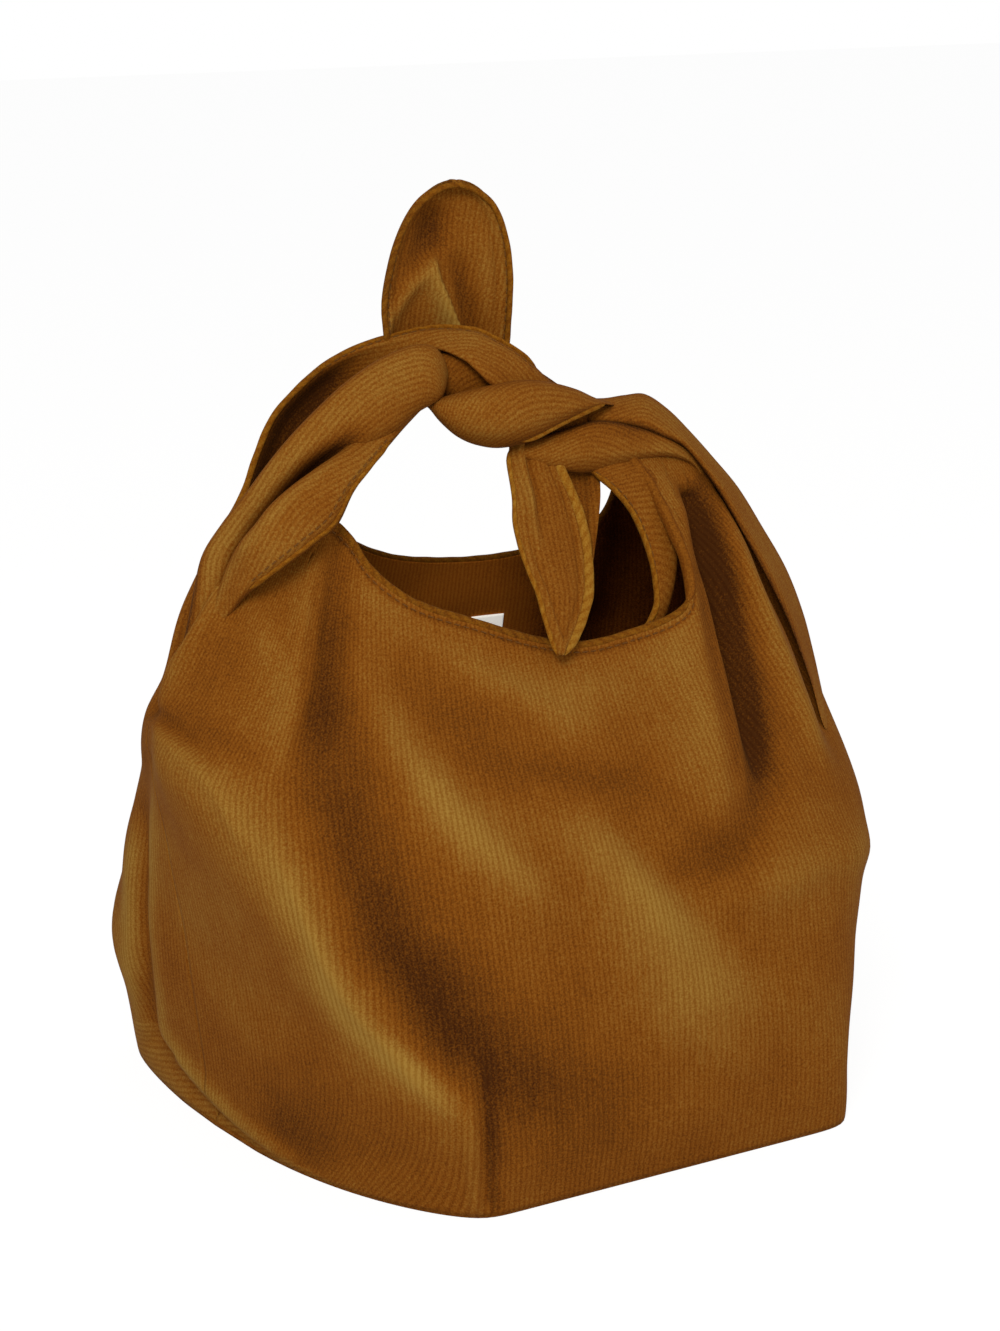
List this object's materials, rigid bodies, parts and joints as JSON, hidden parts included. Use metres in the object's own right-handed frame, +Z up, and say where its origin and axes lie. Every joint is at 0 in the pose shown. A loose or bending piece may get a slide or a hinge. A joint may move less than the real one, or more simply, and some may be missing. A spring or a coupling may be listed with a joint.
{
  "type": "knotted tote bag",
  "caption": "Soft corduroy tote with an open scooped mouth; two side ears rise into straps tied in a knot with one tail up and one down.",
  "frame": {"origin": "middle of the flat base, on the ground", "axes": "+Z up, the front panel faces -Y, the two ears lie along X"},
  "size_m": [0.3414, 0.2524, 0.4178],
  "materials": {
    "corduroy": "ribbed pile",
    "corduroy_inside": "ribbed pile",
    "corduroy_hem": "ribbed pile, topstitched",
    "label_cloth": "woven"
  },
  "bodies": {
    "bag": {"base_panel": "corduroy", "base_lining": "corduroy_inside", "front_panel": "corduroy", "front_left_ear": "corduroy", "front_right_ear": "corduroy", "back_panel": "corduroy", "back_left_ear": "corduroy", "back_right_ear": "corduroy", "front_lining": "corduroy_inside", "back_lining": "corduroy_inside", "front_rim_roll": "corduroy_hem", "back_rim_roll": "corduroy_hem", "inner_label": "label_cloth", "left_ear_bend": "corduroy", "right_ear_bend": "corduroy"},
    "handle": {"knot_wrap": "corduroy_hem", "over_band": "corduroy", "left_strap": "corduroy", "right_strap": "corduroy", "upper_tail_root": "corduroy", "lower_tail_root": "corduroy"},
    "upper_tail": {"upper_tail": "corduroy"},
    "lower_tail": {"lower_tail": "corduroy"}
  },
  "joints": [
    {"name": "handle_lean", "type": "hinge", "parent": "bag", "child": "handle", "pos_m": [0, 0, 0.275], "axis": [-1, 0, 0], "range_deg": [0, 25], "deforming": ["left_ear_bend", "right_ear_bend"]},
    {"name": "upper_tail_flop", "type": "hinge", "parent": "handle", "child": "upper_tail", "pos_m": [-0.01184, 0.021, 0.35782], "axis": [1, 0, 0], "range_deg": [-75, 60]},
    {"name": "lower_tail_swing", "type": "hinge", "parent": "handle", "child": "lower_tail", "pos_m": [0.02, -0.027, 0.28648], "axis": [-1, 0, 0], "range_deg": [0, 45]}
  ]
}
